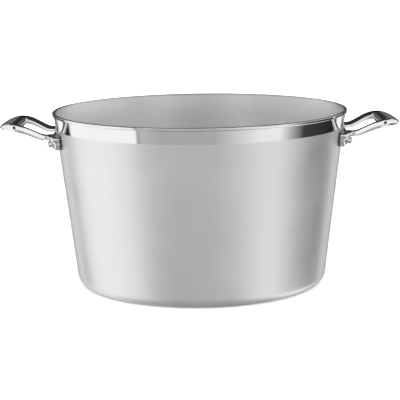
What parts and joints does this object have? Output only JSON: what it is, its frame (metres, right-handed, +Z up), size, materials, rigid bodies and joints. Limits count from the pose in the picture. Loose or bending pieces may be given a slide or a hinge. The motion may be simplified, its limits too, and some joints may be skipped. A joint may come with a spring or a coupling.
{
  "type": "stock pot",
  "caption": "Conical open aluminium pot with a flat base, an outward lip, a polished band below the rim and a riveted loop handle on each side.",
  "frame": {"origin": "centre of the underside of the base", "axes": "+Z up through the mouth, +X through the right-hand handle, -Y towards the front"},
  "size_m": [0.4912, 0.36, 0.212],
  "materials": {
    "aluminium": "satin, turned round the pot, with a mirror-polished band below the lip",
    "stainless": "mirror-polished stainless steel",
    "rivet": "bright"
  },
  "bodies": {
    "root": {"pot_body": "aluminium", "handle_right": "stainless", "handle_left": "stainless", "rivet_right_front": "rivet", "rivet_right_back": "rivet", "rivet_left_front": "rivet", "rivet_left_back": "rivet"}
  },
  "joints": []
}
